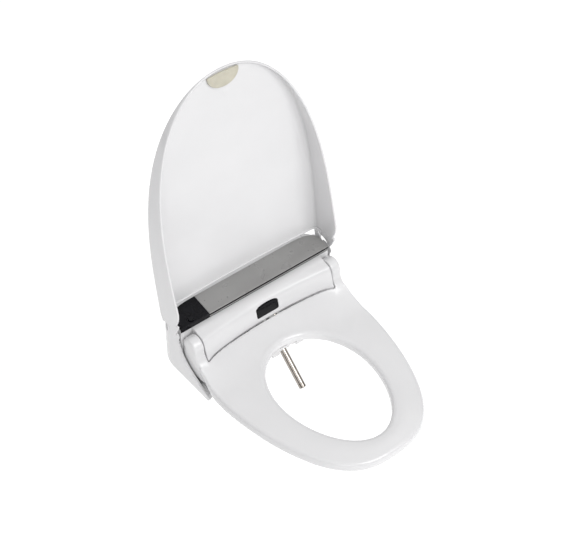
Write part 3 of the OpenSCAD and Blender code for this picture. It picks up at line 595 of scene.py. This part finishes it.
def lid_floor(r, v):
    """Height of the lid's inner face, r from 0 on the spine to 1 at the rim."""
    crown = 5 * (1 - r * r)
    return -(15 + crown) + (17 + crown) * (v / LID_LEN) ** 3


def lid_rim(v):
    """Height of the side walls, which fall away towards the hinge."""
    return 51.7 * (1 - max(v, 70) / LID_LEN) + 3.5 - 13 * (max(0, 68 - v) / 35) ** 2


def lid_section(p):
    """Half section from the spine's back, round the rim, to the spine's inner side."""
    target = Vector((0, p[1] - 52 * (p[1] / LID_LEN) ** 6))
    across = target - Vector(p)
    w, e = across.length, across.normalized()
    edge, rim = lid_floor(1, p[1]), lid_rim(p[1])
    k = min(1.0, (rim - edge) / 9)
    lip = LID_WALL / 2
    over = [(max(s * w, LID_SPINE), lid_floor(1 - s, p[1]) - SHELL) for s in steps(1, 0.06, 14)]
    outer = corner((5.2, edge + 3.4 * k), 5.2, 3.4 * k + SHELL, 270, 180, 7)
    outer += [(0, lerp(edge + 3.4 * k, rim - lip, t)) for t in (0.33, 0.66)]
    top = corner((lip, rim - lip), lip, lip, 180, 0, 8)
    inner = [(LID_WALL, lerp(rim - lip, edge + 5.5 * k, t)) for t in (0.33, 0.66)]
    inner += corner((LID_WALL + 6, edge + 5.5 * k), 6, 5.5 * k, 180, 270, 7)
    under = [(max(s * w, LID_SPINE), lid_floor(1 - s, p[1])) for s in steps(0.06, 1, 14)]
    return [at_lid(p[0] + e.x * d, p[1] + e.y * d, n) for d, n in over + outer + top + inner + under]


def lid_bead():
    """Bright moulded bead along the hinge end, turned up into the side walls."""
    v, side, bend = 34.6, LID_HALF_W - LID_WALL - 2, 9
    floor = [(x, lid_floor(x / side, v) + 0.2) for x in steps(0, side - bend, 14)]
    rise = corner((side - bend, floor[-1][1] + bend), bend, bend, -90, 0, 6)[1:]
    half = floor + rise + [(side, rise[-1][1] + 8)]
    path = [(-x, n) for x, n in half[:0:-1]] + half
    return tube("bead", [at_lid(x, v, n) for x, n in path], 1.9)


def lid():
    straight = spline([(LID_HINGE_HALF_W, 33), (LID_HALF_W, 50), lid_edge(0)], 5)[:-1]
    half = [tuple(p) for p in straight] + [lid_edge(math.radians(a)) for a in steps(0, 90, 45)]
    right = [lid_section(p) for p in half]
    left = [[(-x, y, z) for x, y, z in s] for s in right]
    shell = skin("lid_shell", right + left[-2::-1], closed=False)
    join(shell, lid_bead())
    show(shade(shell, 40), "lid_body", "white_shell", "lid")


def lid_pad():
    """Soft half-moon stop that follows the lid's rim."""
    v, w, depth = LID_LEN - 9, 33.1, 26.5
    outline = [(w * math.cos(t), v - depth * math.sin(t) ** 0.9) for t in steps(0, math.pi, 36)]
    outline += [(x, v + 2.2 * (1 - (x / w) ** 2)) for x in steps(-w, w, 16)[1:-1]]
    pad = prism("lid_stop", outline, 2.2, 5.6, at_lid)
    shade(bevel(pad, 1.1, 4, 50), 50)
    show(pad, "lid_body", "soft_cream", "lid_pad")


# ---- Housing ----
def panel_back(x):
    """Place along y of the top panel's rear edge, which curves forward at its ends."""
    return -1 - 17 * (x / 176) ** 12


def case_rear(x, inset):
    """Place along y of the rear wall, with its round corners."""
    straight = CASE_HALF_W - CASE_CORNER
    if abs(x) < straight:
        return CASE_BACK - inset
    return CASE_BACK - CASE_CORNER + math.sqrt(max(0, (CASE_CORNER - inset) ** 2 - (abs(x) - straight) ** 2))


def rear_part(x, d):
    """Skin of the housing from the rear wall over the top, d inside its outer face."""
    r = case_rear(x, 3.4)
    top = min(max(panel_back(x), -12) + 3, r - 10)
    return spline([(r - d, 92), (r - d, 104 - d), (r - 2.5 - d * 0.9, 113 - d), (r - 9, 119.5 - d),
                   (top, 122.5 - d), (min(-6, top - 2), 122.3 - d), (LEDGE_Y, 115.9 - d)], 4)


def drum_part(x, d):
    """Drum between the seat's ears, down to its foot in the seat's hollow."""
    t = x * x / SEAM_HALF ** 2
    return spline([(LEDGE_Y + d * 0.5, DRUM_Z - d), (-60, DRUM_Z - d), (-68.5 + d * 0.5, 109 - d - t),
                   (-75 - 8 * t + d, 104.5 - d), (-79.5 - 9 * t + d, 96 - d * 0.5), (-83 - 9.5 * t + d, 84),
                   (-84.5 - 11 * t + d, 74), (-83 - 15 * t + d, 64 + 2 * t),
                   (seam_y(x) + 1.6 + d, seam_z(x) + d * 0.6), (seam_y(x) + 3.5 + d, seam_z(x) - 6 - t)], 4)


def flat_part(d):
    """Straight front wall beside the drum, with as many points as drum_part gives."""
    return np.array([(LEDGE_Y + d * 0.5, DRUM_Z - d)] +
                    [(FRONT_Y + d, z) for z in steps(DRUM_Z - 1 - d, 59, DRUM_STEPS - 1)])


def housing_section(x, drum, inside, inset):
    """Section of the housing: inside follows the drum or the flat wall, or closes it solid."""
    front = drum_part(x, inset) if drum else flat_part(inset)
    front_inside = drum_part(x, SHELL) if inside == "drum" else flat_part(SHELL)
    outer = np.vstack([rear_part(x, inset), front])
    inner = np.vstack([rear_part(x, SHELL), front_inside])[::-1]
    if inside == "solid":
        inner = np.array([lerp(inner[0], inner[-1], i / (len(inner) - 1)) for i in range(len(inner))])
    return [(x, y, z) for y, z in np.vstack([outer, inner])]


def rounding(depth, r):
    """How far a face is inset at that depth from a rounded end of radius r."""
    return r - math.sqrt(max(0.0, r * r - max(0.0, r - depth) ** 2))


def window_outline(grow=0.0):
    """Outline of the sensor's window: straight foot, round corners, arched top."""
    w, low, high, r = 26.0 + grow, -13.6 - grow, 13.4 + grow, 4.5
    foot = corner((w - r, low + r), r, r, -90, 0) + corner((w - 5, high - 8), 5, 4.5, 0, 70)
    arch = [(x, high - 3.4 * (x / w) ** 2) for x in steps(w - 7, 0, 8)]
    right = foot + arch
    return right + [(-x, y) for x, y in right[-2::-1]]


def upper_housing():
    """Shell from rows of sections: solid end walls, flat shoulders, and the drum between them."""
    end, drum_in = TOP_HALF_W, DRUM_HALF - SHELL - 0.2
    side = [(end - t, False, "solid", rounding(t, 1.2)) for t in (0, 0.2, 0.5, 0.9, 1.4, SHELL)]
    side += [(x, False, "wall", 0) for x in (end - SHELL - 0.2, 165, DRUM_HALF + 0.1)]
    side += [(DRUM_HALF - t, True, "wall", rounding(t, 2)) for t in (0, 0.15, 0.4, 0.8, 1.3, 2, SHELL)]
    middle = [(x, True, "drum", 0) for x in steps(-drum_in, drum_in, 60)]
    rows = [(-s[0], *s[1:]) for s in side] + middle + side[::-1]
    housing = skin("housing_shell", [housing_section(*row) for row in rows])
    pocket = prism("pocket", window_outline(0.25), -3, 6, at_window)
    cut(housing, nozzle_room("room"), pocket)
    show(shade(housing, 35), "base", "white_shell", "upper_housing")


def drum_face(x, z):
    """Place along y of the drum's skin, below its flat top."""
    face = drum_part(x, 0)[8:]
    return np.interp(-z, -face[:, 1], face[:, 0])


def sensor_window():
    """Dark window whose face follows the drum."""
    proud = -0.05
    rings = []
    for size, drop in ((1, 2.4), (1, 0.4), (0.993, 0.1), (0.975, proud), (0.7, proud), (0.35, proud),
                       (0.02, proud)):
        ring = []
        for u, v in window_outline():
            _, _, z = at_window(u * size, v * size, 0)
            ring.append((u * size, drum_face(u * size, z) + drop, z))
        rings.append(ring)
    show(shade(skin("window", rings), 50), "base", "black_gloss", "sensor_window")


def panel_section(x, inset):
    """Section of the top panel, with rounded edges, from the lower front corner to the front face."""
    back = (panel_back(x) - FRONT_Y) / math.cos(PANEL_TILT)
    t, i = PANEL_T, inset
    low = [(0.5 + i, i), (back - 0.6 - i, i), (back - i, 0.6 + i)]
    rear = corner((back - 1 - i, t - 1 - i), 1, 1, 0, 90, 4)
    front = corner((1 + i, t - 1 - i), 1, 1, 90, 180, 4)
    return [on_panel(x, v, n) for v, n in low + rear + front + [(i, 0.5 + i)]]


def top_panel():
    a, b = PANEL_SPLIT, TOP_HALF_W
    rows = [(a, 0.6), (a + 0.2, 0.25), (a + 0.6, 0)] + [(x, 0) for x in steps(a + 2, b - 2, 90)]
    rows += [(b - 0.6, 0), (b - 0.2, 0.25), (b, 0.6)]
    panel = skin("panel_top", [panel_section(*row) for row in rows])
    show(shade(panel, 40), "base", "panel_grey", "top_panel")


def panel_trim():
    """Grey strip below the panel's front edge, and the dark groove behind it."""
    def strip(name, front, low, high, width):
        outline = [(front, low), (FRONT_Y + 2, low), (FRONT_Y + 2, high), (front, high)]
        made = prism(name, outline, PANEL_SPLIT, TOP_HALF_W, lambda y, z, x: (x, y, z))
        return shade(bevel(made, width, 3, 40), 40)
    show(strip("panel_strip", FRONT_Y - 1.1, DRUM_Z + 2.4, DRUM_Z + 4.9, 0.5), "base", "panel_grey",
         "panel_trim")
    show(strip("panel_groove", FRONT_Y - 0.4, DRUM_Z + 0.2, PANEL_Z + 2.6, 0.3), "base", "black_gloss")


# ---- Nozzles ----
def nozzle(prefix, x, out, body):
    """Polished tube with a rolled end, and a tip with spray holes in its upper side."""
    def place(u, v, h):
        return at_nozzle(x + u, v, h + out)
    r = NOZZLE_R
    wall = [(r - 1, 8.1), (r - 1, TUBE_LEN), (r, TUBE_LEN), (r, 9.4), (r - 0.35, 9.05), (r - 1, 9.0)]
    around = 64
    pipe = lathe(prefix + "_tube", wall, place, around, ring=True)
    show(shade(pipe, 30), body, "steel", prefix + "_nozzle")
    profile = [(0.02, 0), (r - 2.2, 0)] + [(r - 2.2 + 2.2 * math.sin(a), 2.2 - 2.2 * math.cos(a))
                                          for a in steps(0.2, math.pi / 2, 6)]
    profile += [(r, 8.6), (r - 0.4, 8.95), (r - 1.1, 9.0), (r - 1.1, 13.5), (0.02, 13.8)]
    tip = lathe(prefix + "_head", profile, place, around)
    holes = [lathe("hole", [(0.02, -12), (0.6, -12), (0.6, -4), (0.02, -4)],
                   lambda u, v, h, px=px, pz=pz: place(px + u, h, pz + v), 16)
             for pz in (4, 6.6) for px in (-1.6, 1.6)]
    cut(tip, *holes)
    show(shade(tip, 30), body, "steel", prefix + "_tip")


# ---- Everything else keeps its CAD shape ----
ROUNDED = {
    "lower_casing": ("base", "white_shell", 1.1), "lid_arms": ("lid_body", "white_shell", 0.6),
    "control_panel": ("base", "black_gloss", 0.9), "aux_button": ("aux_key", "black_gloss", 0.7),
    "release_button": ("release_key", "white_shell", 0.8), "nozzle_guard": ("base", "white_shell", 0.7),
    "seat_bottom": ("seat", "white_shell", 0.5), "seat_bumpers": ("seat", "soft_cream", 1.2),
    "deodoriser_filter": ("filter_cartridge", "black_plastic", 0.6),
    "drain_plug": ("base", "natural_plastic", 0.6),
    "mounting_plate": ("base", "black_plastic", 0.8), "wing_nuts": ("base", "natural_plastic", 0.7),
    "base_pads": ("base", "black_rubber", 0.9), "cord_gland": ("base", "black_rubber", 0.5),
    "bolt_washers": ("base", "steel", 0.3), "dryer_duct": ("base", "white_inner", 0.5),
}


def kept_nodes():
    """Gives each node that keeps its CAD mesh the look of its material slot."""
    slots = {s["node"]: s["material_slot"] for s in frame["record"]["subparts"]}
    for name, obj in cad_nodes.items():
        if obj.hide_render:
            continue
        obj.data.materials.clear()
        obj.data.materials.append(LOOKS[slots[name]])


# ---- Studio ----
def world():
    """Bright overhead, grey towards the horizon, so that gloss has something to show."""
    made = bpy.data.worlds.new("studio")
    made.use_nodes = True
    nodes, links = made.node_tree.nodes, made.node_tree.links
    coords, split = nodes.new("ShaderNodeTexCoord"), nodes.new("ShaderNodeSeparateXYZ")
    ramp = nodes.new("ShaderNodeValToRGB")
    ramp.color_ramp.elements[0].position, ramp.color_ramp.elements[1].position = 0.1, 0.7
    ramp.color_ramp.elements[0].color = (0.14, 0.14, 0.15, 1)
    ramp.color_ramp.elements[1].color = (0.85, 0.85, 0.85, 1)
    links.new(coords.outputs["Generated"], split.inputs["Vector"])
    links.new(split.outputs["Z"], ramp.inputs["Fac"])
    links.new(ramp.outputs["Color"], nodes["Background"].inputs["Color"])
    scene.world = made


def floor():
    size, z = 20, -0.8
    points = [(x * size / MM, y * size / MM, z / MM) for x, y in ((-1, -1), (1, -1), (1, 1), (-1, 1))]
    made = new_object("floor", points, [(0, 1, 2, 3)])
    look = Look("floor", 0.9)
    look.colour(look.noise(2), (0.95, 0.95, 0.95), (0.97, 0.97, 0.97))
    look.shader.inputs["Emission Color"].default_value = (1, 1, 1, 1)
    look.shader.inputs["Emission Strength"].default_value = 0.2
    made.data.materials.append(look.mat)


def area_light(name, place, aim, size, power):
    data = bpy.data.lights.new(name, "AREA")
    data.shape, data.size, data.energy = "SQUARE", size, power
    made = bpy.data.objects.new(name, data)
    scene.collection.objects.link(made)
    made.location = place
    made.rotation_mode = "QUATERNION"
    made.rotation_quaternion = (Vector(aim) - Vector(place)).to_track_quat("-Z", "Y")


def camera():
    """From the front left and above, with a slight roll."""
    azimuth, elevation, roll = (math.radians(a) for a in (-41.2232, 47.7497, 2.13))
    aim, distance = Vector((0, -0.2, 0.15)), 2.42322
    back = Vector((math.sin(azimuth) * math.cos(elevation), -math.cos(azimuth) * math.cos(elevation),
                   math.sin(elevation)))
    right = Vector((math.cos(azimuth), math.sin(azimuth), 0))
    up = back.cross(right)
    turned_right = right * math.cos(roll) + up * math.sin(roll)
    turned_up = up * math.cos(roll) - right * math.sin(roll)
    data = bpy.data.cameras.new("camera")
    data.lens, data.sensor_width = 85.15, 36
    data.shift_x, data.shift_y, data.clip_end = -0.0477, 0.0841, 50
    made = bpy.data.objects.new("camera", data)
    scene.collection.objects.link(made)
    turn = Matrix((turned_right, turned_up, back)).transposed().to_4x4()
    made.matrix_world = Matrix.Translation(aim + back * distance) @ turn
    scene.camera = made


def main():
    seat_top()
    lid()
    lid_pad()
    upper_housing()
    sensor_window()
    top_panel()
    panel_trim()
    nozzle("wash", WASH_X, 0, "wash_slider")
    nozzle("bidet", BIDET_X, TRAVEL, "bidet_slider")
    for node, (body, slot, width) in ROUNDED.items():
        rounded(node, body, slot, width)
    kept_nodes()
    world()
    floor()
    area_light("key", (1.2, -6.2, 6.0), (0, -0.1, 0.3), 4.8, 330)
    area_light("fill", (-5.0, -6.2, 3.0), (0, -0.2, 0.2), 3.6, 70)
    camera()
    scene.view_settings.view_transform = "Standard"


main()
